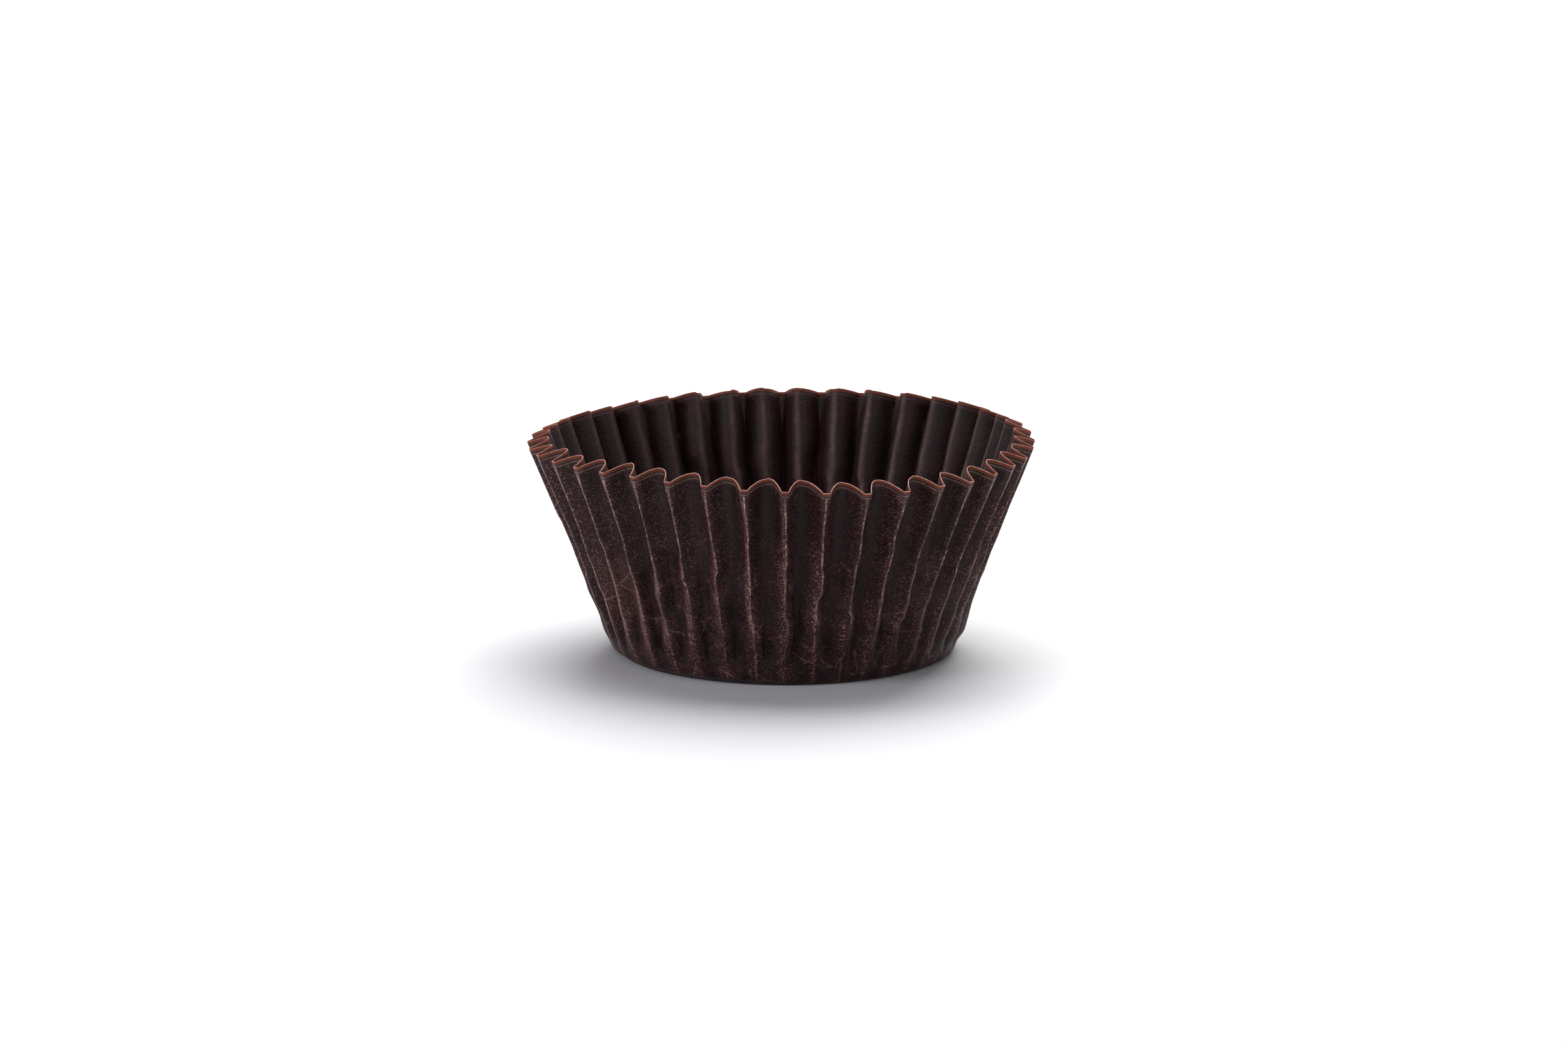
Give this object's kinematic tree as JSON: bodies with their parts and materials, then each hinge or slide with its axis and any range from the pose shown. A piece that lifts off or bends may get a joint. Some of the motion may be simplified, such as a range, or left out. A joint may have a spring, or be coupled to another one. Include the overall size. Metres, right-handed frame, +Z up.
{
  "type": "cupcake liner",
  "caption": "Round fluted paper baking cup with a flat base and a flared pleated wall, slightly out of round at the rim.",
  "frame": {"origin": "centre of the underside of the base, where the fluted wall is centred", "axes": "+Z up through the open mouth, -Y to the front, +X to the right"},
  "size_m": [0.0745, 0.0745, 0.0331],
  "materials": {
    "greaseproof_paper": "matt dark brown greaseproof paper, lighter along the outer folds and the cut rim"
  },
  "bodies": {
    "root": {"liner": "greaseproof_paper"}
  },
  "joints": []
}
